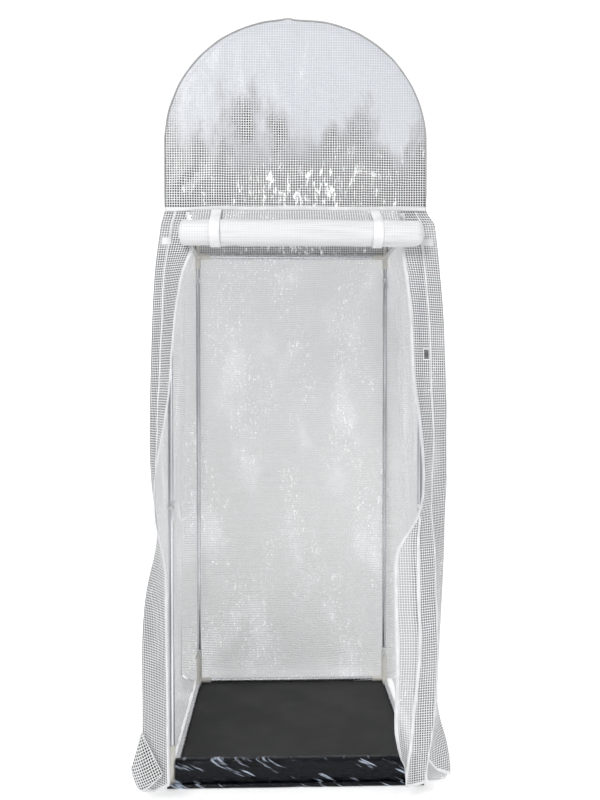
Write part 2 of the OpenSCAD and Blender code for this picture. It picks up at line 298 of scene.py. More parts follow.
class Paint:
    """A material with one main shader, and short calls for the nodes that feed it."""

    def __init__(self, name, **sockets):
        """sockets are the main shader's values that differ from its own."""
        self.material = bpy.data.materials.new(name)
        self.material.use_nodes = True
        self.tree = self.material.node_tree
        self.shader = self.tree.nodes["Principled BSDF"]
        for socket, value in sockets.items():
            self.shader.inputs[socket.replace("_", " ")].default_value = value

    def node(self, kind, **settings):
        """A new node with some settings."""
        made = self.tree.nodes.new(kind)
        for key, value in settings.items():
            setattr(made, key, value)
        return made

    def put(self, socket, value):
        """Set a socket to a number or colour, or link another node's output to it."""
        if isinstance(value, bpy.types.NodeSocket):
            self.tree.links.new(value, socket)
        elif value is not None:
            socket.default_value = value

    def math(self, operation, a, b=None, c=None):
        """A sum on one to three values."""
        made = self.node("ShaderNodeMath", operation=operation)
        for socket, value in zip(made.inputs, (a, b, c)):
            self.put(socket, value)
        return made.outputs[0]

    def place(self):
        """Where a point is, in metres."""
        return self.node("ShaderNodeTexCoord").outputs["Object"]

    def cloth(self):
        """Where a point is on the flat cloth, in metres."""
        return self.node("ShaderNodeUVMap", uv_map="cloth").outputs[0]

    def stretch(self, vector, scale, turn=(0, 0, 0)):
        """A place scaled and then turned, so that a texture on it is finer or slanted."""
        made = self.node("ShaderNodeMapping")
        self.put(made.inputs["Vector"], vector)
        made.inputs["Scale"].default_value = scale
        made.inputs["Rotation"].default_value = turn
        return made.outputs[0]

    def noise(self, vector, scale, detail=2.0, rough=0.5, turn=(0, 0, 0)):
        """Soft random values. Where scale is three numbers it is stretched, and then turned."""
        if isinstance(scale, tuple):
            vector, scale = self.stretch(vector, scale, turn), 1.0
        made = self.node("ShaderNodeTexNoise")
        self.put(made.inputs["Vector"], vector)
        made.inputs["Scale"].default_value = scale
        made.inputs["Detail"].default_value = detail
        made.inputs["Roughness"].default_value = rough
        return made.outputs["Fac"]

    def split(self, vector):
        """The X, Y and Z of a vector."""
        made = self.node("ShaderNodeSeparateXYZ")
        self.put(made.inputs[0], vector)
        return made.outputs

    def span(self, value, low, high, new_low=0.0, new_high=1.0):
        """A smooth step from new_low, where value is low, to new_high, where it is high."""
        made = self.node("ShaderNodeMapRange", interpolation_type="SMOOTHSTEP")
        for socket, number in zip(made.inputs, (value, low, high, new_low, new_high)):
            self.put(socket, number)
        return made.outputs[0]

    def ramp(self, value, *stops):
        """A colour that follows a value through stops, each (value, colour)."""
        made = self.node("ShaderNodeValToRGB")
        self.put(made.inputs[0], value)
        line = made.color_ramp.elements
        while len(line) < len(stops):
            line.new(0.5)
        for element, (where, colour) in zip(line, stops):
            element.position = where
            element.color = (*colour, 1)
        return made.outputs[0]

    def mix(self, share, a, b):
        """Colour a where share is 0, b where it is 1."""
        made = self.node("ShaderNodeMix", data_type="RGBA")
        self.put(made.inputs["Factor"], share)
        for socket, value in ((made.inputs[6], a), (made.inputs[7], b)):
            self.put(socket, (*value, 1) if isinstance(value, tuple) else value)
        return made.outputs[2]

    def feed(self, socket, value):
        """Set or link one of the main shader's sockets."""
        self.put(self.shader.inputs[socket], value)

    def finish(self, colour, rough, height=None, depth=0.0, strength=1.0):
        """The finished material. A height from 0 to 1 makes a bump so many metres deep."""
        self.feed("Base Color", colour)
        self.feed("Roughness", rough)
        if height:
            made = self.node("ShaderNodeBump")
            made.inputs["Strength"].default_value = strength
            made.inputs["Distance"].default_value = depth
            self.put(made.inputs["Height"], height)
            self.feed("Normal", made.outputs[0])
        return self.material


def threads(paint, upright_wide, level_wide):
    """1 on the reinforcing threads of the film, 0 in the clear cells between them."""
    uv = paint.cloth()
    wander = paint.noise(uv, (9, 9, 9))
    parts = paint.split(uv)
    found = []
    for axis, wide in ((0, upright_wide), (1, level_wide)):
        place = paint.math("MULTIPLY_ADD", wander, 0.003, parts[axis])
        away = paint.math("PINGPONG", place, GRID / 2)
        found.append(paint.span(away, wide * 0.34, wide * 0.62, 1.0, 0.0))
    return paint.math("MAXIMUM", found[0], found[1]), uv


def glints(paint, uv, share, specks, glint_gather=None):
    """Painted highlights: marks that film() makes white, nearly opaque and faintly glowing, for light caught
    on hard creases in crumpled film. They are upright streaks in patches, and they raise the bump a little.

    share is how much of the film has them, specks adds small marks between them, and glint_gather is 1 where
    these painted highlights gather most.
    """
    streaks = paint.noise(uv, (75, 24, 1), 6.0, 0.75, (0, 0, math.radians(4)))
    patch = paint.noise(uv, (6.5, 2.4, 1), 3.0)
    if glint_gather:
        streaks = paint.math("MULTIPLY_ADD", glint_gather, 0.042, streaks)
        patch = paint.math("MULTIPLY_ADD", glint_gather, 0.22, patch)
    marks = paint.span(streaks, 0.555, 0.66)
    if specks:
        small = paint.span(paint.noise(uv, (130, 100, 1)), 0.62, 0.68)
        marks = paint.math("MAXIMUM", marks, small)
    return paint.math("MULTIPLY", marks, paint.span(patch, 0.62 - share * 0.3, 0.74 - share * 0.3))


def clouded_above(paint, uv, line):
    """Film clouded above a height: how clouded it is, where painted highlights gather, and where they show.
    """
    parts = paint.split(paint.place())
    # The feathered edge between clouded and clear is also the edge of the painted leaf shadow below the line.
    slant = paint.noise(uv, (8, 3.4, 1), 5.0, 0.6, (0, 0, math.radians(24)))
    hazy = paint.span(paint.math("MULTIPLY_ADD", slant, 0.8, parts["Z"]), line + 0.30, line + 0.48)
    low = paint.span(parts["Z"], SEAM_Z + 0.05, SEAM_Z + 0.17, 1.0, 0.0)
    central = paint.span(paint.math("ABSOLUTE", parts["X"]), 0.10, 0.26, 1.0, 0.0)
    glint_band = paint.span(parts["Z"], line - 0.06, line, 1.0, 0.0)
    return hazy, paint.math("MULTIPLY", low, central), glint_band


# How wide the film's upright and level threads are
THREAD_WIDE = (0.0021, 0.0021)


def film(name, clear, tint, haze, glint_share, wide=THREAD_WIDE, specks=True, haze_line=None, haze_from=None):
    """Thread-reinforced film.

    clear and tint are how opaque its cells are and their colour, and haze is the same two where the film is
    clouded. wide is how wide its upright and level threads are, and glint_share is how much of it has painted
    highlights. With haze_line, a height in metres, the film is clouded above that and takes clear and tint
    below; on the gable these are near black and nearly opaque, a painted shadow of leaves behind the film.
    With haze_from, a distance along the cloth, it is clouded beyond it.
    """
    paint = Paint(name, IOR=1.4)
    thread, uv = threads(paint, *wide)
    if haze_line:
        hazy, glint_gather, glint_band = clouded_above(paint, uv, haze_line)
        glint = paint.math("MULTIPLY", glints(paint, uv, glint_share, specks, glint_gather), glint_band)
    else:
        hazy = paint.span(paint.noise(uv, (7, 3, 1), 3.0), 0.46, 0.70)
        glint = glints(paint, uv, glint_share, specks)
    if haze_from:
        beyond = paint.span(paint.split(uv)["X"], haze_from, haze_from + 0.02)
        hazy = paint.math("MAXIMUM", hazy, beyond)
    cell = paint.span(hazy, 0.0, 1.0, clear, haze[0])
    # Painted highlights: glint marks make the cells nearly opaque, turn white in the colour and glow a
    # little.
    cell = paint.math("MAXIMUM", cell, paint.math("MULTIPLY", glint, 0.9))
    lift = paint.math("MULTIPLY", paint.math("SUBTRACT", 0.95, cell), thread)
    paint.feed("Alpha", paint.math("ADD", cell, lift))
    # Cell colour: tint where the film is clear and haze's colour where it is clouded; the gable's near-black
    # tint is a painted shadow.
    cell_colour = paint.mix(hazy, tint, haze[1])
    veiled = paint.math("MULTIPLY_ADD", hazy, -0.8 if haze_line else -0.3, 1.0)
    white = paint.math("MAXIMUM", paint.math("MULTIPLY", thread, veiled), glint)
    colour = paint.mix(white, cell_colour, (0.86, 0.865, 0.87))
    rough = paint.span(thread, 0.0, 1.0, 0.14, 0.4)
    # The painted highlights glow faintly, though no lamp is there.
    paint.feed("Emission Strength", paint.math("MULTIPLY", glint, 0.45))
    crumple = paint.noise(uv, (70, 34, 1), 4.0)
    height = paint.math("MULTIPLY_ADD", thread, 0.3, crumple)
    return paint.finish(colour, rough, paint.math("MULTIPLY_ADD", glint, 0.3, height), 0.0016, 0.8)


def rolled_film():
    """Many layers of film in the roll: white, with fine lines along it and its threads showing in places."""
    paint = Paint("rolled_film_look", IOR=1.5)
    thread, uv = threads(paint, 0.0022, 0.0022)
    long_lines = paint.noise(uv, (6, 420, 1))
    soft = paint.noise(uv, (5, 60, 1), 3.0)
    lined = paint.ramp(long_lines, (0.3, (0.60, 0.60, 0.61)), (0.6, (0.74, 0.74, 0.745)))
    seen = paint.math("MULTIPLY", thread, paint.span(soft, 0.35, 0.65, 0.2, 0.8))
    colour = paint.mix(seen, lined, (0.84, 0.84, 0.84))
    crumple = paint.noise(uv, (26, 60, 1), 4.0, 0.6)
    height = paint.math("MULTIPLY_ADD", thread, 0.12, paint.math("MULTIPLY", long_lines, 0.2))
    height = paint.math("ADD", height, crumple)
    return paint.finish(colour, paint.span(soft, 0.3, 0.7, 0.3, 0.5), height, 0.0022, 0.8)


def dimmed(tint, share):
    """A colour made darker."""
    return tuple(c * share for c in tint)


def woven(name, tint, pitch, rough=0.62):
    """Narrow woven tape: fine crossing yarns, a little soiled in places."""
    paint = Paint(name, Sheen_Weight=0.15)
    place = paint.place()
    yarn = paint.node("ShaderNodeTexWave", bands_direction="DIAGONAL")
    paint.put(yarn.inputs["Vector"], place)
    yarn.inputs["Scale"].default_value = 1 / pitch / 6.3
    yarn.inputs["Distortion"].default_value = 0.6
    soiled = paint.noise(place, 26.0, 4.0)
    colour = paint.mix(paint.span(soiled, 0.35, 0.7), dimmed(tint, 0.86), tint)
    rough = paint.span(soiled, 0.3, 0.7, rough - 0.08, rough + 0.1)
    height = paint.math("MULTIPLY_ADD", yarn.outputs["Fac"], 0.6, paint.noise(place, 900.0, 2.0))
    return paint.finish(colour, rough, height, 0.0004, 0.6)


def moulded(name, tint):
    """Moulded plastic: faint flow marks, fine spark-eroded grain and duller rubbed patches."""
    paint = Paint(name, IOR=1.46)
    place = paint.place()
    flow = paint.noise(place, (30, 30, 11), 3.0)
    rubbed = paint.noise(place, 60.0, 4.0, 0.6)
    colour = paint.mix(paint.span(flow, 0.3, 0.7), dimmed(tint, 0.9), tint)
    height = paint.math("MULTIPLY_ADD", paint.noise(place, 1500.0), 0.4, flow)
    return paint.finish(colour, paint.span(rubbed, 0.35, 0.7, 0.3, 0.5), height, 0.0003, 0.5)


def metal(name, tint, rough, grain=(220, 220, 4)):
    """Drawn metal: fine lines along its length, small dull specks and a slight change of tone."""
    paint = Paint(name, Metallic=1.0)
    place = paint.place()
    lines = paint.noise(place, grain, 3.0)
    specks = paint.noise(place, 240.0, 4.0, 0.7)
    tone = paint.noise(place, 5.0, 2.0)
    base = paint.mix(paint.span(tone, 0.3, 0.7), dimmed(tint, 0.8), tint)
    spot = paint.span(specks, 0.62, 0.74, 0.0, 0.6)
    colour = paint.mix(spot, base, dimmed(tint, 0.55))
    uneven = paint.span(lines, 0.3, 0.7, rough * 0.75, rough * 1.3)
    return paint.finish(colour, paint.math("MULTIPLY_ADD", spot, 0.25, uneven), lines, 0.0002, 0.35)


def black_film():
    """Glossy black film with slanted folds and a few pale streaks of reflected sky."""
    paint = Paint("black_film_look", IOR=1.3)
    place = paint.place()
    folds = paint.noise(place, (16, 16, 70), 4.0, 0.6, (0, math.radians(38), 0))
    slanted = paint.stretch(place, (1, 1, 1), (0, math.radians(-24), 0))
    streaks = paint.noise(slanted, (12, 12, 105))
    shine = paint.span(streaks, 0.58, 0.70)
    # Painted shade and sheen: the colour follows the same folds as the bump, near black in their hollows and
    # a little lighter and bluer on their rises.
    fold_shade_and_sheen = paint.ramp(folds, (0.35, (0.001, 0.0012, 0.002)), (0.7, (0.005, 0.007, 0.013)))
    colour = paint.mix(shine, fold_shade_and_sheen, (0.44, 0.50, 0.60))
    return paint.finish(colour, paint.span(paint.noise(place, 90.0), 0.3, 0.7, 0.12, 0.24), folds, 0.006)


def ground_film():
    """Matt woven ground cloth: flat tapes crossing, with dust in the hollows."""
    paint = Paint("ground_film_look", IOR=1.45)
    uv = paint.cloth()
    weave = paint.node("ShaderNodeTexChecker")
    paint.put(weave.inputs["Vector"], uv)
    weave.inputs["Scale"].default_value = 520.0
    dust = paint.noise(uv, 7.0, 4.0)
    low = paint.ramp(dust, (0.3, (0.028, 0.028, 0.029)), (0.75, (0.055, 0.054, 0.053)))
    colour = paint.mix(weave.outputs["Fac"], low, (0.038, 0.038, 0.039))
    height = paint.math("MULTIPLY_ADD", weave.outputs["Fac"], 0.4, paint.noise(uv, 30.0, 4.0))
    return paint.finish(colour, paint.span(dust, 0.3, 0.7, 0.6, 0.85), height, 0.0008, 0.7)


def patch_film():
    """The welded patch: grey film with a white border, and the grid of the film faint inside it."""
    paint = Paint("patch_look", IOR=1.45)
    thread, uv = threads(paint, 0.0016, 0.0016)
    parts = paint.split(uv)
    sides = []
    for axis, half in ((0, 0.0086), (1, 0.0134)):
        away = paint.math("ABSOLUTE", parts[axis])
        sides.append(paint.span(away, half - 0.0006, half + 0.0006))
    border = paint.math("MAXIMUM", sides[0], sides[1])
    inside = paint.mix(paint.math("MULTIPLY", thread, 0.3), (0.13, 0.13, 0.135), (0.5, 0.5, 0.5))
    colour = paint.mix(border, inside, (0.84, 0.84, 0.85))
    worn = paint.noise(uv, (300, 300, 1), 3.0)
    height = paint.math("MULTIPLY_ADD", border, 0.8, worn)
    return paint.finish(colour, paint.span(worn, 0.3, 0.7, 0.2, 0.4), height, 0.0004, 0.6)


def pale_floor():
    """A pale studio floor, slightly uneven in tone."""
    paint = Paint("pale_floor_look", Emission_Color=(1, 1, 1, 1), Emission_Strength=0.42)
    place = paint.place()
    colour = paint.ramp(paint.noise(place, 1.5, 3.0), (0.3, (0.86, 0.86, 0.865)), (0.7, (0.9, 0.9, 0.9)))
    return paint.finish(colour, paint.span(paint.noise(place, 40.0), 0.3, 0.7, 0.6, 0.8))


CLOUD = (0.60, 0.62, 0.66)
# Below its haze line the gable's cells are near black and nearly opaque, with a feathered edge: a painted
# shadow of leaves behind the film.
GABLE_FILM = film(
    "gable_film_look", 0.93, (0.020, 0.021, 0.019), (0.8, CLOUD), 0.5, specks=False, haze_line=1.88
)
ROOF_FILM = film("roof_film_look", 0.6, (0.10, 0.105, 0.11), (0.6, CLOUD), 0.3)
WALL_FILM = film(
    "wall_film_look", 0.4, (0.17, 0.17, 0.168), (0.26, (0.7, 0.72, 0.76)), 0.62, (0.0012, 0.0034)
)
HEAD_FILM = film("door_head_film_look", 0.66, (0.34, 0.34, 0.35), (0.74, (0.62, 0.625, 0.64)), 0.5)
LEFT_FILM = film("left_flap_film_look", 0.88, (0.035, 0.035, 0.036), (0.84, (0.10, 0.10, 0.105)), 0.2)
RIGHT_FILM = film(
    "right_flap_film_look", 0.8, (0.06, 0.06, 0.062), (0.66, (0.42, 0.425, 0.435)), 0.3, haze_from=0.118
)
PATCH = patch_film()
ROLLED = rolled_film()
TAPE = woven("white_tape_look", (0.84, 0.84, 0.85), 0.0011)
PIPING = woven("piping_look", (0.36, 0.36, 0.355), 0.0024, 0.4)
STRAP = woven("strap_look", (0.9, 0.9, 0.91), 0.0016)
RIBBON = woven("ribbon_look", (0.92, 0.92, 0.93), 0.0009, 0.5)
ZIP_TAPE = woven("zip_tape_look", (0.82, 0.83, 0.85), 0.0008)
STEEL = metal("steel_tube_look", (0.80, 0.81, 0.83), 0.28)
ZIP_METAL = metal("zip_metal_look", (0.72, 0.72, 0.73), 0.3, (90, 90, 90))
EYELET_METAL = metal("eyelet_metal_look", (0.16, 0.16, 0.17), 0.35, (90, 90, 90))
WHITE = moulded("white_moulding_look", (0.82, 0.80, 0.74))
TEETH = moulded("zip_teeth_look", (0.84, 0.84, 0.86))
BLACK = black_film()
MATT = ground_film()

# ---------------------------------------------------------------- frame parts get their finishes and soft edges

NODE_LOOKS = (
    (("base_tube", "upright", "eave_tube", "arch_rod", "ridge_rod"), STEEL),
    (("base_corner", "eave_corner", "apex_connector"), WHITE),
    (("zip_slider", "zip_pull"), ZIP_METAL),
    (("eyelet",), EYELET_METAL),
)
for node_name, node in frame["nodes"].items():
    for starts, look in NODE_LOOKS:
        if node_name.startswith(starts):
            node.data.materials.clear()
            node.data.materials.append(look)
            edge = node.modifiers.new("soft edges", "BEVEL")
            edge.width = 0.0004
            edge.limit_method = "ANGLE"

# ---------------------------------------------------------------- gables and roof


def gable(side, name):
    """The arched end of the cover, bulging a little, with hard creases."""
    r = SKIN_R - 0.001
    top = SPRING_Z + r
    share = np.linspace(0, 1, 60)[:, None]
    legs = 0.28
    straight = SEAM_Z + (SPRING_Z - SEAM_Z) * share / legs
    curved = SPRING_Z + r * np.sin((share - legs) / (1 - legs) * math.pi / 2)
    z = np.where(share < legs, straight, np.minimum(curved, top))
    arch = APEX_HALF + np.sqrt(np.maximum(r**2 - (z - SPRING_Z) ** 2, 0))
    half = np.where(z < SPRING_Z, SKIN_X - 0.001, arch)
    a = np.linspace(-1, 1, 72)[None, :]
    x = a * half
    z = np.broadcast_to(z, x.shape)
    inner = smooth((1 - np.abs(a)) / 0.12) * smooth((top - z) / 0.04) * smooth((z - SEAM_Z) / 0.03)
    out = 0.004 * inner + 0.0045 * inner * creases(x, z, 0.075, 31)
    out += 0.003 * inner * noise(x / 0.2, z / 0.2, 32)
    low_part = smooth((1.86 - z) / 0.12) * inner
    out += 0.0035 * low_part * noise(x / 0.022 + 3 * noise(x / 0.1, z / 0.1, 34), z / 0.06, 33)
    y = side * (SKIN_Y - 0.0005 + out)
    return sheet_object(name, stack(x, y, z), stack(x, z), GABLE_FILM)


def roof(name):
    """The long sheet over both arches, sagging between them."""
    share = np.linspace(0, 1, 150)[:, None]
    b = np.linspace(-1, 1, 64)[None, :]
    x, z, out_x, out_z, length = arch_line(share, SKIN_R - 0.0003, SEAM_Z)
    inner = smooth((1 - np.abs(b)) / 0.12)
    foot = smooth(np.minimum(share, 1 - share) / 0.06)
    top = np.maximum(out_z, 0)
    sink = (0.004 + 0.012 * top) * (1 - b**2)
    u, v = (share - 0.5) * length, b * SKIN_Y
    rough = 0.004 * creases(u, v, 0.09, 41) + 0.003 * noise(u / 0.12, v / 0.3, 42)
    lift = -sink * foot + inner * foot * rough
    points = stack(x + out_x * lift, v, z + out_z * lift)
    return sheet_object(name, points, stack(v, u), ROOF_FILM), length


for side, word in FRONT_BACK:
    sheet = gable(side, "film_gable_" + word)
    attach(sheet, "grid_film", "gable_" + word)
sheet, ROOF_LENGTH = roof("film_roof")
attach(sheet, "grid_film", "roof_panel")

# ---------------------------------------------------------------- walls

# How far the film is turned in at the foot of a wall
TUCK = 0.055
# Two heights on the front corners: the flaps' ripples fade out just above the first, and fold_band() finds a
# short band that starts at the first and leans back from the flap's corner
BLEND_FROM = 1.535
BLEND_TO = 1.275
BAND_LEAN = 0.03


def soft_parts(value):
    """The positive part and the negative part of a value, with a soft change between them."""
    size = np.sqrt(value**2 + 0.012**2)
    return (size + value) / 2, (size - value) / 2


def wall(name, where):
    """A loose wall from the seam to the ground. where is left, right or back."""
    seed = {"left": 51, "right": 61, "back": 71}[where]
    t = np.concatenate([np.linspace(0, 0.06, 49), np.linspace(0.06, 1, 76)[1:]])[None, :]
    lift = 0.006 + 0.004 * noise(t * 7, 0.5, seed)
    if where != "back":
        lift = lift + 0.04 * (1 - smooth(t / 0.06))
    share = np.linspace(0, 1, 170)[:, None]
    tucked = TUCK * smooth(np.minimum(t, 1 - t) / 0.05 - 0.2)
    along = share * (SEAM_Z - lift + tucked) - tucked
    above, tucked_in = soft_parts(along)
    z = np.minimum(lift + above, SEAM_Z)
    inward = tucked_in * smooth((SEAM_Z - z) / 0.3)
    a = 2 * t - 1
    if where == "back":
        left_x, half_y = corner(z, -1, 0)
        right_x, right_y = corner(z, 1, 0)
        half_x = left_x + (right_x - left_x) * t
        half_y = half_y + (right_y - half_y) * t
    else:
        half_x, half_y = corner(z, -1 if where == "left" else 1, 1 - smooth(t / 0.7))
    edge = smooth(np.minimum(t, 1 - t) / 0.07)
    hang = smooth((SEAM_Z - z) / 0.35)
    low = smooth((1.3 - z) / 1.1)
    u = a * (half_x if where == "back" else half_y)
    fold_u = t * 5.2 + 0.35 * noise(z / 0.5, t * 2, seed + 1)
    folds = noise(fold_u, z / 0.9, seed + 2)
    out = 0.006 * np.sin(math.pi * t) * hang
    out += edge * hang * (0.006 + 0.006 * low) * folds
    out += edge * hang * 0.005 * creases(u, z, 0.085, seed + 3)
    out += edge * 0.0022 * noise(u / 0.03 + 2 * noise(u / 0.2, z / 0.3, seed + 5), z / 0.11, seed + 4)
    if where == "right":
        bulge = 0.012 * np.exp(-(((t - 0.12) / 0.08) ** 2))
        out += bulge * smooth((1.5 - z) / 0.2) * smooth((z - 0.4) / 0.3)
    out = out - inward
    if where == "back":
        points = stack(u, half_y + out, z)
    else:
        side = -1 if where == "left" else 1
        points = stack(side * (half_x + out), u, z)
    return sheet_object(name, points, stack(u, along), WALL_FILM)


def fold_band(side):
    """The start and end of a narrow band at a front corner, between a side wall and its front flap.

    The band starts at the top of the flap's own shoulder and leans back from the corner below it.
    """
    top_y = corner_at(side, BLEND_FROM)[1]
    low_y = corner_at(side, BLEND_TO)[1]
    drop = BLEND_FROM - BLEND_TO
    lean = (top_y - low_y) / drop - BAND_LEAN
    start = Vector((0, top_y, BLEND_FROM))
    return start, start + Vector((0, -1, lean)) * (BAND_LEAN * drop / (1 + lean**2))


for where in ("left", "right", "back"):
    sheet = wall("film_wall_" + where, where)
    if where == "back":
        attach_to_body(sheet, ROOT)
    else:
        start, end = fold_band(-1 if where == "left" else 1)
        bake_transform(sheet)
        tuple(start)
        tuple(end)
    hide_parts("wall_" + where)

# ---------------------------------------------------------------- front flaps

# Each flap hangs in three panels from its corner to its hem, with a soft crease between them. Here is the
# height, then how wide each panel is, then how far each is turned towards the viewer, in degrees. The right
# flap has its eyelet in a plain stretch that runs straight from the corner through it.
fold_x, fold_y, _ = corner_at(1, EYELET.z)
EYELET_TURN = math.degrees(math.atan2(fold_y - EYELET.y, fold_x - EYELET.x))
PANELS = {
    -1: (
        (0.00, 0.060, 0.054, 0, 40, 36, 36), (0.20, 0.055, 0.056, 0, 42, 44, 44),
        (0.43, 0.050, 0.061, 0, 38, 45, 45), (0.52, 0.046, 0.064, 0, 40, 49, 49),
        (0.58, 0.043, 0.066, 0, 46, 54, 54), (0.64, 0.040, 0.067, 0, 54, 62, 62),
        (0.70, 0.037, 0.067, 0, 66, 72, 72), (0.75, 0.036, 0.067, 0, 76, 81, 81),
        (0.815, 0.036, 0.067, 0, 74, 84, 84), (0.915, 0.036, 0.067, 0, 60, 84, 84),
        (1.03, 0.036, 0.072, 0, 46, 70, 70), (1.14, 0.036, 0.075, 0, 44, 58, 58),
        (1.26, 0.036, 0.075, 0, 36, 56, 56), (1.375, 0.035, 0.076, 0, 34, 50, 50),
        (1.49, 0.033, 0.076, 0, 30, 38, 38), (1.53, 0.032, 0.073, 0, 14, 18, 18),
        (1.56, 0.031, 0.070, 0, 0, 0, 0), (SEAM_Z, 0.030, 0.042, 0, 0, 0, 0),
    ),
    1: (
        (0.00, 0.086, 0.064, 0.038, 24, 16, -110), (0.06, 0.085, 0.064, 0.038, 26, 16, -105),
        (0.12, 0.082, 0.060, 0.042, 33, 14, -66), (0.18, 0.072, 0.060, 0.046, 55, 10, -30),
        (0.25, 0.064, 0.062, 0.050, 76, 6, 0), (0.36, 0.062, 0.056, 0.060, 76, 14, 0),
        (0.45, 0.060, 0.057, 0.067, 74, 20, 0), (0.57, 0.056, 0.056, 0.066, 63, 20, 0),
        (0.68, 0.054, 0.056, 0.066, 56, 20, 0), (0.73, 0.054, 0.054, 0.056, 48, 26, 4),
        (0.79, 0.056, 0.050, 0.010, 40, 38, 38), (0.83, 0.057, 0.054, 0, 38, 48, 48),
        (0.90, 0.058, 0.056, 0, 37, 54, 54), (1.03, 0.052, 0.062, 0, 37, 42, 42),
        (1.14, 0.050, 0.064, 0, 28, 32, 32), (1.19, 0.049, 0.066, 0, EYELET_TURN, EYELET_TURN, EYELET_TURN),
        (1.31, 0.049, 0.066, 0, EYELET_TURN, EYELET_TURN, EYELET_TURN), (1.42, 0.049, 0.063, 0, 25, 20, 20),
        (1.50, 0.047, 0.060, 0, 18, 12, 12), (1.55, 0.046, 0.058, 0, 0, 0, 0),
        (SEAM_Z, 0.030, 0.042, 0, 0, 0, 0),
    ),
}
CREASE_WIDE = 0.024


def panel_widths(side, z):
    """The widths of a flap's three panels at height z. Above the knee the second ends at the zip."""
    first, second, third = [curve_through(z, PANELS[side], k) for k in (1, 2, 3)]
    up = smooth((np.asarray(z) - 1.54) / 0.03)
    return first, second + (corner(z, side)[0] - ZIP_X - first - second) * up, third


def flap_width(side, z):
    """How wide a flap is at height z, along the film."""
    return sum(panel_widths(side, z))


def flap_point(side, z, share, proud=0.0):
    """A point on a front flap: height z, and the share of the way from its corner fold to its hem."""
    z, share, proud = np.broadcast_arrays(np.asarray(z, float), np.asarray(share, float), proud)
    first, second, third = panel_widths(side, z)
    wide = first + second + third
    x, y = corner(z, side)
    turns = np.radians([curve_through(z, PANELS[side], k) for k in (4, 5, 6)])
    steps = 48
    at_x, at_y, last = x * 1.0, -y, turns[0]
    for k in range(steps):
        along = (k + 0.5) / steps * wide
        turn = turns[0] + (turns[1] - turns[0]) * smooth((along - first) / CREASE_WIDE + 0.5)
        turn = turn + (turns[2] - turns[1]) * smooth((along - first - second) / CREASE_WIDE + 0.5)
        step = np.maximum(share * steps - k, 0)
        if k < steps - 1:
            step = np.minimum(step, 1)
        at_x = at_x - np.cos(turn) * step * wide / steps
        at_y = at_y - np.sin(turn) * step * wide / steps
        last = np.where(share * steps > k, turn, last)
    along = share * wide
    calm = 1 - np.exp(-(((z - EYELET.z) / 0.05) ** 2)) * (side > 0)
    ripple = 0.0022 * noise(along / 0.05, z / 0.09, 81 + side)
    ripple = ripple + 0.0024 * creases(along, z, 0.045, 85 + side)
    ripple = ripple * smooth(share / 0.1) * calm * smooth((BLEND_FROM + 0.1 - z) / 0.1) + proud
    points = stack(side * (at_x + np.sin(last) * ripple), at_y - np.cos(last) * ripple, z)
    return points, stack(along, z)


# The share of the way from the corner to the hem, then the height of the flap's bottom edge
FOOT = {
    -1: ((0.0, 0.012), (0.5, 0.03), (1.0, 0.066)),
    1: ((0.0, 0.048), (0.25, 0.07), (0.42, 0.108), (0.49, 0.044), (0.78, 0.040), (0.88, 0.09), (1.0, 0.10)),
}


def flap_foot(side, share):
    """Height of a flap's bottom edge."""
    return np.interp(share, [place[0] for place in FOOT[side]], [place[1] for place in FOOT[side]])


def share_at(side, z, away):
    """The share of a flap's width that is so many metres from its corner fold."""
    return np.clip(away / flap_width(side, z), 0, 1.0)


def front_flap(side, word):
    """The film of a front flap, from the seam to its foot."""
    share = np.linspace(0, 1, 44)[None, :]
    rows = np.linspace(0, 1, 230)[:, None]
    foot = flap_foot(side, share)
    z = foot + (SEAM_Z - 0.0005 - foot) * rows
    points, cloth = flap_point(side, z, share)
    return sheet_object("film_front_" + word, points, cloth, LEFT_FILM if side < 0 else RIGHT_FILM)


def edge_tape(name, side, z, low_share, high_share, thick, z_high=None):
    """A tape sewn over part of a flap, on both faces of the film, between two lines on it."""
    z = np.asarray(z, float)[:, None]
    z_high = z if z_high is None else np.asarray(z_high, float)[:, None]
    part = np.array([0, 0.06, 0.5, 0.94, 1, 0.94, 0.5, 0.06])[None, :]
    lifts = np.array([0, 1, 1, 1, 0, -1, -1, -1])[None, :] * thick
    low_share = np.broadcast_to(low_share, len(z))[:, None]
    high_share = np.broadcast_to(high_share, len(z))[:, None]
    shares = low_share + (high_share - low_share) * part
    points, _ = flap_point(side, z + (z_high - z) * part, shares, lifts)
    return mesh_object(name, points.reshape(-1, 3), capped(len(z), 8), TAPE)


# From one tooth of the open zip to the next
TOOTH_PITCH = 0.0026


def teeth(name, side, low, high):
    """The half of the zip that stays on the flap's hem: one small tooth after another."""
    z = np.arange(low, high, TOOTH_PITCH)
    base, _ = flap_point(side, z, 1.0)
    tip, _ = flap_point(side, z, 1.025)
    out = tip - base
    out /= np.linalg.norm(out, axis=1, keepdims=True)
    up = np.array([0, 0, 1.0])
    face = np.cross(out, up)
    return blocks(name, base + out * 0.0012, (out * 0.0014, face * 0.0013, up * 0.00085), TEETH)


def crease_to_fold(z):
    """How far the right flap's second crease is from its corner fold."""
    first, second, _ = panel_widths(1, z)
    return first + second


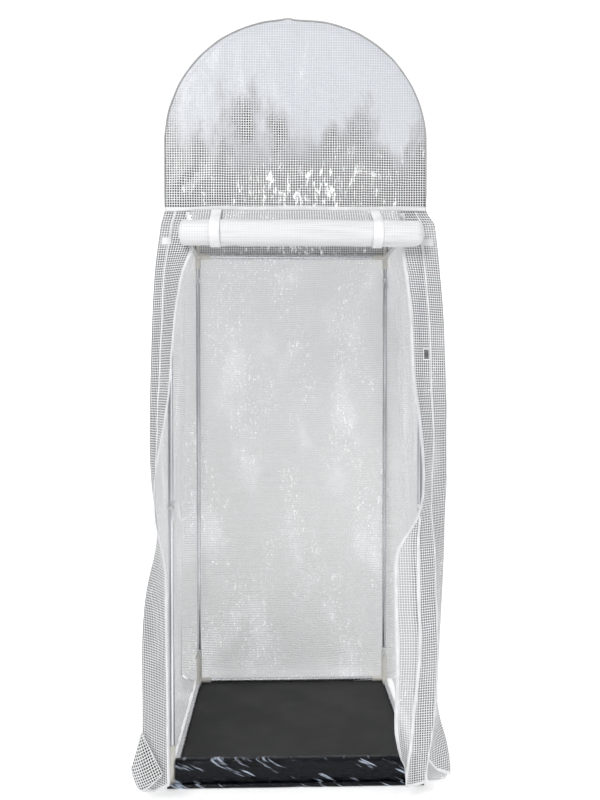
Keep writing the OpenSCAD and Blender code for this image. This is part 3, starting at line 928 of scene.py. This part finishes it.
def turned_corner():
    """The foot of the left flap's corner, turned up and out: a bulged leaf of film with a hem on its lip."""
    peak = np.array([-0.434, -0.432, 0.190])
    lip = np.array([
        [-0.4575, -0.446, 0.106], [-0.456, -0.450, 0.088], [-0.444, -0.458, 0.062],
        [-0.428, -0.466, 0.045], [-0.408, -0.473, 0.056], [-0.386, -0.479, 0.078],
        [-0.3675, -0.480, 0.096],
    ])
    soft = rounded_path(lip, 40)
    u = np.linspace(0, 1, 40)[None, :]
    v = np.linspace(0, 1, 30)[:, None]
    top = peak + (lip[-1] - peak) * u[0][:, None]
    points = soft[None] + (top - soft)[None] * v[:, :, None]
    puff = np.sin(math.pi * np.minimum(u * 1.1, 1)) * np.sin(math.pi * np.minimum(0.15 + v * 0.85, 1))
    rough = 0.003 * creases(u * 0.12, v * 0.12, 0.04, 89)
    points[:, :, 1] -= 0.012 * puff + rough * smooth(v / 0.2) * smooth((1 - v) / 0.2)
    points[:, :, 0] -= 0.004 * puff
    slant = math.radians(28)
    cloth = stack(
        points[:, :, 0] * math.cos(slant) + points[:, :, 2] * math.sin(slant),
        points[:, :, 2] * math.cos(slant) - points[:, :, 0] * math.sin(slant),
    )
    leaf = sheet_object("film_corner_left", points, cloth, LEFT_FILM)
    rim = tube_along("tape_lip_left", points[0], 0.0028, TAPE, 8, 0.6)
    ridge = tube_along("tape_ridge_left", points[-1], 0.0014, TAPE, 8)
    return [leaf, rim, ridge]


def crease_tape(name, side, z, away, half, thick):
    """A tape along a flap's crease, which is so far from its corner fold."""
    low_share, high_share = share_at(side, z, away - half), share_at(side, z, away + half)
    return edge_tape(name, side, z, low_share, high_share, thick)


HEM_WIDE = 0.0085
# How high the hem, the half of the zip on it and the tapes on the creases go
HEM_TOP = 1.652
CHAIN_TOP = 1.585
CREASE_TOP = 1.655
FOLD_TOP = 0.80
# The left corner crease is taped only above this height
LEFT_CREASE_LOW = 0.93
# The tab on each flap: from and to which height, and over which share of the flap's width
TAB_HEIGHTS = (1.556, 1.577)
TAB_SHARES = (0.1, 0.42)
# Half the width of each crease's tape, then its thickness
CORNER_TAPE = (0.0026, 0.0013)
FOLD_TAPE = (0.0045, 0.0014)

for side, word in LEFT_RIGHT:
    sheet = front_flap(side, word)
    hem_z = np.linspace(float(flap_foot(side, 0.98)), HEM_TOP, 230)
    hem_from = 1 - share_at(side, hem_z, HEM_WIDE)
    crease_low = float(flap_foot(side, 0.5)) if side > 0 else LEFT_CREASE_LOW
    crease_z = np.linspace(crease_low, CREASE_TOP, 230)
    crease = panel_widths(side, crease_z)[0]
    foot_share = np.linspace(0.004, 0.998, 90)
    foot_z = flap_foot(side, foot_share)
    tab_z = np.linspace(*TAB_HEIGHTS, 8)
    pieces = [
        edge_tape("tape_hem_" + word, side, hem_z, hem_from, 1.004, 0.001),
        crease_tape("tape_corner_" + word, side, crease_z, crease, *CORNER_TAPE),
        edge_tape("tape_foot_" + word, side, foot_z, foot_share, foot_share, 0.001, foot_z + 0.009),
        edge_tape("tape_tab_" + word, side, tab_z, *TAB_SHARES, 0.0016),
    ]
    if side > 0:
        fold_z = np.linspace(float(flap_foot(side, 0.7)), FOLD_TOP, 120)
        pieces.append(crease_tape("tape_fold_right", side, fold_z, crease_to_fold(fold_z), *FOLD_TAPE))
    else:
        pieces.extend(turned_corner())
    chain = teeth("zip_teeth_" + word, side, hem_z[0] + 0.01, CHAIN_TOP)
    pieces.append(chain)
    start, end = corner_at(side, BLEND_FROM), corner_at(side, BLEND_TO)
    for piece in [sheet, *pieces]:
        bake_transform(piece)
        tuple(start)
        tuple(end)
    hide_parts("flap_" + word, "flap_top_" + word)

# ---------------------------------------------------------------- rolled door

TURN_COUNT = 8
CORE_R = 0.022
ROLL_START = math.radians(100)
STRAP_WIDE = 0.028
# The head stops so far short of the zips, for the zip pulls to swing in
HEAD_GAP = 0.0085


def roll_radius(turns, x):
    """The roll's radius after so many turns, at x: lumpy along its length and drawn in at its ends."""
    pitch = (ROLL_R - 0.0012 - CORE_R) / TURN_COUNT
    angle = turns % 1
    end = np.minimum(x - ROLL_LEFT, ROLL_RIGHT - x)
    droop = 1 - 0.34 * (1 - smooth(end / 0.03)) ** 2
    lumps = 0.0016 * noise(x / 0.09, np.cos(2 * math.pi * angle) * 2 + 5, 91)
    lumps = lumps + 0.001 * noise(x / 0.035, np.sin(2 * math.pi * angle) * 3 + 5, 92)
    return (CORE_R + pitch * turns) * droop + lumps * (0.4 + 0.6 * turns / TURN_COUNT)


def door_roll():
    """The rolled up door, as one long wound sheet, and the length of film in it."""
    turns = np.linspace(0, TURN_COUNT, TURN_COUNT * 44 + 1)[:, None]
    share = np.linspace(0, 1, 96)[None, :]
    ragged = 0.004 * noise(turns * 1.7, 0.3, 93)
    inset = 0.003 + 0.0035 * smooth(turns / TURN_COUNT)
    low, high = ROLL_LEFT + 2.2 * inset + ragged, ROLL_RIGHT - inset + 0.7 * ragged
    x = low + (high - low) * (0.5 - 0.5 * np.cos(share * math.pi)) ** 0.9
    r = roll_radius(turns, x)
    turn = 2 * math.pi * turns + ROLL_START
    points = stack(x, ROLL.y - r * np.cos(turn), ROLL.z + r * np.sin(turn))
    pitch = (ROLL_R - CORE_R) / TURN_COUNT
    flat_v = 2 * math.pi * (CORE_R * turns + pitch * turns**2 / 2)
    return sheet_object("film_door_roll", points, stack(x, flat_v), ROLLED), float(flat_v.max())


def door_head():
    """The top of the door, from the seam down and out to the roll, and how long it is."""
    rows = np.linspace(0, 1, 14)[:, None]
    x = np.linspace(-ZIP_X + HEAD_GAP, ZIP_X - HEAD_GAP, 90)[None, :]
    start_y, start_z = HANG.y - 0.0006, HANG.z - 0.004
    r = roll_radius(np.full_like(x, TURN_COUNT - 0.001), x)
    end_y, end_z = ROLL.y - r * math.cos(ROLL_START), ROLL.z + r * math.sin(ROLL_START)
    y = start_y + (end_y - start_y) * rows
    z = start_z + (end_z - start_z) * rows - 0.003 * np.sin(math.pi * rows)
    z = z + 0.0018 * np.sin(math.pi * rows) * noise(x / 0.05, rows * 1.5, 95)
    length = math.hypot(end_y.mean() - start_y, end_z.mean() - start_z)
    return sheet_object("film_door_head", stack(x, y, z), stack(x, rows * length), HEAD_FILM), length


def strap(word, x):
    """A woven strap that hangs from the seam and goes round the roll."""
    reach_y, reach_z = HANG.y - ROLL.y, HANG.z - ROLL.z
    r = ROLL_R + 0.0012
    spread = math.acos(r / math.hypot(reach_y, reach_z))
    start = math.atan2(reach_z, reach_y) + spread
    around = start + np.linspace(0, 2 * math.pi - 2 * spread, 60)
    ring = stack(x, ROLL.y + r * np.cos(around), ROLL.z + r * np.sin(around))
    ring[:, 1:] += 0.0006 * noise(np.linspace(0, 9, 60), 0.5, 96)[:, None]
    top = np.array([x, HANG.y - 0.0008, HANG.z - 0.001])
    eighths = np.linspace(0, 1, 9)[:-1, None]
    down = top + (ring[0] - top) * eighths
    up = ring[-1] + (top - ring[-1]) * eighths[1:]
    path = np.vstack([down, ring, up, top - [[0, 0.0009, 0]]])
    return ribbon_along("strap_" + word, path, [STRAP_WIDE, 0, 0], 0.0011, STRAP)


roll, DOOR_LENGTH = door_roll()
head, HEAD_LENGTH = door_head()
attach(roll, "rolled_film", "door_roll", body=ROLL_BODY)
attach(head, "grid_film", body=ROLL_BODY)
strap_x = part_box("roll_straps")[1].x - STRAP_WIDE / 2
attach(strap("left", -strap_x), "white_tape", "roll_straps", body=ROLL_BODY)
attach(strap("right", strap_x), "white_tape", body=ROLL_BODY)

# ---------------------------------------------------------------- seams, sleeves and zips


def seam_tape(name, y):
    """A tape along the seam at the front or back, drawn down a little at its left end."""
    x = np.linspace(-SKIN_X, SKIN_X, 90)
    wave = 0.0014 * noise(x / 0.07, 0.4, 101) - 0.006 * (1 - smooth((x + SKIN_X) / 0.2))
    return ribbon_along(name, stack(x, y, SEAM_Z + wave), [0, 0, TAPE_W * 0.55], 0.001, TAPE)


def side_seam(name, side):
    """A tape along the seam at one side."""
    y = np.linspace(-SKIN_Y + 0.004, SKIN_Y - 0.004, 80)
    wave = 0.001 * noise(y / 0.06, 0.4, 103 + side)
    path = stack(side * (SKIN_X + 0.0012), y, SEAM_Z + wave)
    return ribbon_along(name, path, [0, 0, TAPE_W * 0.6], 0.001, TAPE)


def arch_trim(name, side, seed):
    """A tube of sewn film that follows an arch, a little uneven."""
    share = np.linspace(0, 1, 240)
    x, z, out_x, out_z, _ = arch_line(share, SKIN_R - 0.001, SEAM_Z + 0.006)
    uneven = 0.0011 * noise(share * 34, 0.5, seed) + 0.004 * np.exp(-(((share - 0.485) / 0.012) ** 2))
    thick = 0.0021 * (1 + 0.16 * noise(share * 60, 0.5, seed + 1))
    path = stack(x + out_x * uneven, side * (SKIN_Y + 0.0005), z + out_z * uneven)
    return tube_along(name, path, thick, PIPING, 12)


def sleeve(name, side, low_share, high_share):
    """A pocket that an arch rod runs in, over part of an arch."""
    share = np.linspace(low_share, high_share, 120)
    x, z, out_x, out_z, _ = arch_line(share, ROD_ARCH_R, middle("eave_corner_front_left").z)
    uneven = 0.0006 * noise(share * 60, 0.5, 111 + side)
    radius = ROD_R + 0.0022 + 0.0008 * noise(share * 80, 0.5, 113 + side)
    path = stack(x + out_x * uneven, side * HALF, z + out_z * uneven)
    return tube_along(name, path, radius, TAPE, 14)


def zip_tape(side, word):
    """The woven tape of the joined top of a zip."""
    low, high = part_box("zip_top_" + word)
    z = np.linspace(low.z, high.z, 30)
    path = stack(side * ZIP_X, -corner(z, side)[1] - 0.0022, z)
    return ribbon_along("zip_tape_" + word, path, [0.022, 0, 0], 0.0009, ZIP_TAPE)


def zip_chain(side, word):
    """The closed teeth of the joined top of a zip, from the two sides in turn."""
    low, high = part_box("zip_top_" + word)
    z = np.arange(low.z + 0.002, high.z - 0.002, 0.0015)
    x = side * ZIP_X + np.where(np.arange(len(z)) % 2, 0.0007, -0.0007)
    centres = stack(x, -corner(z, side)[1] - 0.0034, z)
    return blocks("zip_chain_" + word, centres, np.diag([0.0018, 0.0008, 0.0006]), TEETH)


attach(seam_tape("tape_seam_front", middle("eave_tape").y), "white_tape", "eave_tape")
attach(seam_tape("tape_seam_back", SKIN_Y + 0.0016), "white_tape")
for side, word in LEFT_RIGHT:
    attach(side_seam("tape_seam_" + word, side), "white_tape")
for side, word in FRONT_BACK:
    attach(arch_trim("piping_arch_" + word, side, 123 + 2 * side), "white_tape")
for side, word in FRONT_BACK:
    attach(sleeve(f"sleeve_{word}_left", side, 0.035, 0.478), "white_tape", "arch_sleeve_" + word)
    attach(sleeve(f"sleeve_{word}_right", side, 0.522, 0.965), "white_tape")
for side, word in LEFT_RIGHT:
    attach(zip_tape(side, word), "zip_tape", "zip_top_" + word)
    attach(zip_chain(side, word), "zip_tape")

# ---------------------------------------------------------------- eyelet patch


def patch():
    """The square of film welded round the eyelet, with a stitched edge."""
    fold_x, fold_y, _ = corner_at(1, EYELET.z)
    across = Vector((EYELET.x - fold_x, EYELET.y - fold_y, 0)).normalized()
    up = FOLD_UP.normalized()
    face = across.cross(up).normalized()
    if face.y > 0:
        face.negate()
    a, b = np.meshgrid(np.linspace(-1, 1, 23), np.linspace(-1, 1, 23))
    puff = 0.0018 + 0.0007 * (1 - np.maximum(np.abs(a), np.abs(b)) ** 6) - 0.0004 * np.cos(a * 40) ** 2
    wide, tall = a * 0.011, b * 0.016
    steps = ((wide, across), (tall, up), (puff * 0.6, face))
    points = np.array(EYELET) + sum(far[..., None] * np.array(way) for far, way in steps)
    return sheet_object("film_patch", points, stack(wide, tall), PATCH)


attach(patch(), "white_tape", "eyelet_patch", body="right_flap")

# ---------------------------------------------------------------- sill, its hem and the ground film


def sill():
    """Black film folded over the front base tube, wrinkled on the slant."""
    low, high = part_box("door_sill")
    long = high.x - low.x
    tall, deep = high.z - low.z, high.y - low.y
    x = low.x + long * np.linspace(0, 1, 150)[None, :]
    profile = np.linspace(0, 2 * tall + deep, 54)
    bends = (0, tall, tall + deep, 2 * tall + deep)
    y = np.interp(profile, bends, (low.y, low.y, high.y, high.y))
    z = np.interp(profile, bends, (low.z, high.z, high.z, low.z))
    for line in (y, z):
        line[3:-3] = np.convolve(line, np.ones(7) / 7, "valid")
    profile, y, z = profile[:, None], y[:, None], z[:, None]
    slant = x * 0.8 + z
    wrinkle = 0.0015 + 0.0035 * creases(slant, z - x * 0.3, 0.034, 131)
    wrinkle = wrinkle + 0.002 * noise(slant / 0.02, z / 0.06, 132)
    held = smooth(profile / 0.012) * smooth((2 * tall + deep - profile) / 0.012)
    aside = smooth(np.abs(profile - tall - deep / 2) / (deep / 2))
    out_y = np.where(profile < tall + deep / 2, -aside, aside)
    points = stack(x, y + out_y * wrinkle * held, z + (1 - aside) * wrinkle * held * 0.6)
    return sheet_object("film_sill", points, stack(x, profile), BLACK), (long, 2 * tall + deep)


def sill_hem():
    """The rolled bottom edge of the sill."""
    low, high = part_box("sill_hem")
    x = np.linspace(low.x, high.x, 160)
    wave = 0.0008 * noise(x / 0.05, 0.5, 135)
    path = stack(x, middle("sill_hem").y + wave, middle("sill_hem").z)
    radius = (high.z - low.z) / 2 * (0.93 + 0.07 * noise(x / 0.03, 0.5, 136))
    return tube_along("film_sill_hem", path, radius, BLACK, 16)


def ground():
    """The film under the frame, with a few soft waves."""
    low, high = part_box("floor_sheet")
    a = np.linspace(0, 1, 90)
    u, v = np.meshgrid(a, a)
    x, y = low.x + (high.x - low.x) * u, low.y + (high.y - low.y) * v
    z = 0.0008 + 0.0022 * np.abs(noise(x / 0.09, y / 0.12, 141)) + 0.0015 * (1 + creases(x, y, 0.14, 142))
    return sheet_object("film_ground", stack(x, y, z), stack(x, y), MATT)


sill_sheet, SILL_FLAT = sill()
hem_tube = sill_hem()
ground_sheet = ground()
attach(sill_sheet, "black_film", "door_sill")
attach(hem_tube, "black_film", "sill_hem")
attach(ground_sheet, "floor_film", "floor_sheet")

# ---------------------------------------------------------------- ribbons


# The heights of the knots
TIE_HIGH = 1.562
BOW_Z = 0.808
TIE_LOW = 0.128
# The bow's loop and its end, across and up from the knot
BOW_LOOP = (
    (0.004, 0.002), (0.007, 0.012), (0.012, 0.020), (0.018, 0.021), (0.022, 0.014), (0.024, 0.0),
    (0.026, -0.018), (0.029, -0.030), (0.034, -0.035), (0.041, -0.031), (0.046, -0.026),
)
BOW_END = ((0.003, -0.001), (0.008, -0.016), (0.006, -0.028), (0.009, -0.034))


def ribbon_turns(name, x, y, z, rise, out, wide):
    """Two turns of ribbon round an upright, the second higher by rise and further out."""
    pieces = []
    around = np.linspace(0, 2 * math.pi, 33)
    for k in (0, 1):
        r = TUBE_R + 0.0016 + out * k
        lean = 0.002 * (1 - 2 * k)
        path = stack(x + r * np.sin(around), y - r * np.cos(around), z + rise * k + lean * np.sin(around))
        pieces.append(ribbon_along(f"{name}_turn{k}", path, [0, 0, wide], 0.0006, RIBBON))
    return pieces


TIE_KNOT = {"across": (-0.004, -0.002, 0.002, 0.004), "proud": 0.0012, "thin": 0.002, "thick": 0.0034}
BOW_KNOT = {"across": (-0.004, -0.001, 0.004, 0.007), "proud": 0.0015, "thin": 0.0025, "thick": 0.0045}


def knot(name, x, y, z, across, proud, thin, thick):
    """A small knot. across is where its four rings are, from left to right."""
    lift = np.array([0, 0.001, 0.003, 0.002])
    path = stack(x + np.array(across), y - proud * np.array([0, 1, 1, 0]), z + lift)
    return tube_along(name + "_knot", path, [thin, thick, thick, thin], RIBBON, 10)


def ribbon_tie(name, x, y, z, seed):
    """A ribbon twice round an upright, knotted, with two short ends."""
    draw = np.random.default_rng(seed)
    front = y - TUBE_R - 0.004
    pieces = ribbon_turns(name, x, y, z, rise=0.0035, out=0.0006, wide=0.006)
    pieces.append(knot(name, x, front, z, **TIE_KNOT))
    t = np.linspace(0, 1, 16)
    for k in (-1, 1):
        drop = 0.026 + 0.01 * draw.random()
        swing = 0.006 + 0.006 * draw.random()
        path = stack(x + k * (0.002 + swing * t), front - 0.0015 - 0.003 * np.sin(t * 3), z - drop * t**1.2)
        pieces.append(ribbon_along(f"{name}_end{k + 1}", path, [0.005, 0.001, 0.0], 0.0005, RIBBON))
    return pieces


def bow(x, y, z):
    """The bow on the front left upright: a tall bent loop to one side and a curled end."""
    front = y - TUBE_R - 0.004
    pieces = ribbon_turns("bow", x, y, z, rise=0.004, out=0, wide=0.007)
    pieces.append(knot("bow", x, front, z, **BOW_KNOT))
    for name, stops, deep in (("bow_loop", BOW_LOOP, 0.004), ("bow_end", BOW_END, 0.003)):
        flat = rounded_path(stops, len(stops) * 6)
        away = deep * np.sin(np.linspace(0, 3, len(flat)))
        path = stack(x + flat[:, 0], front - away, z + flat[:, 1])
        ahead = np.gradient(path, axis=0)
        ahead /= np.linalg.norm(ahead, axis=1, keepdims=True)
        across = stack(-ahead[:, 2] * 0.0048, 0.0022, ahead[:, 0] * 0.0048)
        pieces.append(ribbon_along(name, path, across, 0.0007, RIBBON))
    return pieces


first, *others = bow(-HALF, -HALF, BOW_Z)
attach(first, "white_tape", "bow_tie_left")
for piece in others:
    attach(piece, "white_tape")
places = [(x, y, TIE_HIGH) for y in (-HALF, HALF) for x in (-HALF, HALF)]
places += [(-HALF, HALF, TIE_LOW), (HALF, HALF, TIE_LOW), (HALF, -HALF, BOW_Z)]
for k, place in enumerate(places):
    for piece in ribbon_tie(f"tie{k}", *place, 151 + k):
        attach(piece, "white_tape")
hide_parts("ties")

# ---------------------------------------------------------------- studio


def studio():
    """A level floor that bends up into a wall behind the object."""
    rows = np.linspace(0, 1, 60)[:, None]
    x = np.linspace(-7, 7, 30)[None, :]
    bend = 1.6
    turn = np.clip((rows - 0.5) / 0.15, 0, 1) * math.pi / 2
    y = np.where(rows < 0.5, -5 + 18 * rows, 4 + bend * np.sin(turn))
    z = np.where(rows < 0.5, 0, bend * (1 - np.cos(turn))) + np.maximum(rows - 0.65, 0) * 16
    points = stack(x, y, z)
    floor = mesh_object("studio_floor", points.reshape(-1, 3), quads(60, 30), pale_floor())


# Each light's name, its place, what it is aimed at, its width and height, and its power in watts
LIGHTS = (
    ("key", (-1.6, -3.6, 3.4), (0, 0, 1.2), (1.6, 1.6), 84),
    ("fill", (3.0, -2.8, 1.8), (0, 0, 1.0), (0.7, 2.4), 16),
    ("top", (0.3, 0.2, 4.4), (0, 0, 1.0), (2.0, 2.0), 26),
)
SKY_POWER = 0.62


def area_light(name, place, aim, size, power):
    """A rectangular light at a place, aimed at a point."""
    light = bpy.data.lights.new(name, "AREA")
    light.shape = "RECTANGLE"
    light.size, light.size_y = size
    light.energy = power
    lamp = bpy.data.objects.new(name, light)
    lamp.location = place
    lamp.rotation_mode = "QUATERNION"
    lamp.rotation_quaternion = (Vector(aim) - Vector(place)).to_track_quat("-Z", "Y")
    bpy.context.scene.collection.objects.link(lamp)


def sky():
    """A white sky ahead and behind, a little darker at the sides."""
    world = bpy.data.worlds.new("studio_world")
    world.use_nodes = True
    tree = world.node_tree
    back = tree.nodes["Background"]
    where = tree.nodes.new("ShaderNodeTexCoord")
    parts = tree.nodes.new("ShaderNodeSeparateXYZ")
    aside = tree.nodes.new("ShaderNodeMath")
    aside.operation = "ABSOLUTE"
    line = tree.nodes.new("ShaderNodeValToRGB")
    stops = ((0.25, (1.0, 1.0, 1.0, 1)), (0.95, (0.62, 0.64, 0.68, 1)))
    for element, (position, colour) in zip(line.color_ramp.elements, stops):
        element.position = position
        element.color = colour
    tree.links.new(where.outputs["Generated"], parts.inputs[0])
    tree.links.new(parts.outputs["X"], aside.inputs[0])
    tree.links.new(aside.outputs[0], line.inputs[0])
    tree.links.new(line.outputs[0], back.inputs[0])
    back.inputs[1].default_value = SKY_POWER
    bpy.context.scene.world = world


# The camera that fits the photograph: its focal length on a 36 mm sensor, its place, how far it looks down
# and how far it turns to the right
LENS = 32.85
EYE = (-0.046, -2.462, 1.166)
LOOK_DOWN = 1.33
LOOK_RIGHT = 1.57


def camera():
    """The camera that sees the object as the photograph does."""
    lens = bpy.data.cameras.new("photo_view")
    lens.sensor_width = 36
    lens.lens = LENS
    lens.clip_end = 60
    eye = bpy.data.objects.new("photo_view", lens)
    eye.location = EYE
    eye.rotation_euler = (math.radians(90 - LOOK_DOWN), 0, math.radians(-LOOK_RIGHT))
    bpy.context.scene.collection.objects.link(eye)
    bpy.context.scene.camera = eye


studio()
sky()
for light in LIGHTS:
    area_light(*light)
camera()
bpy.context.scene.view_settings.view_transform = "Standard"
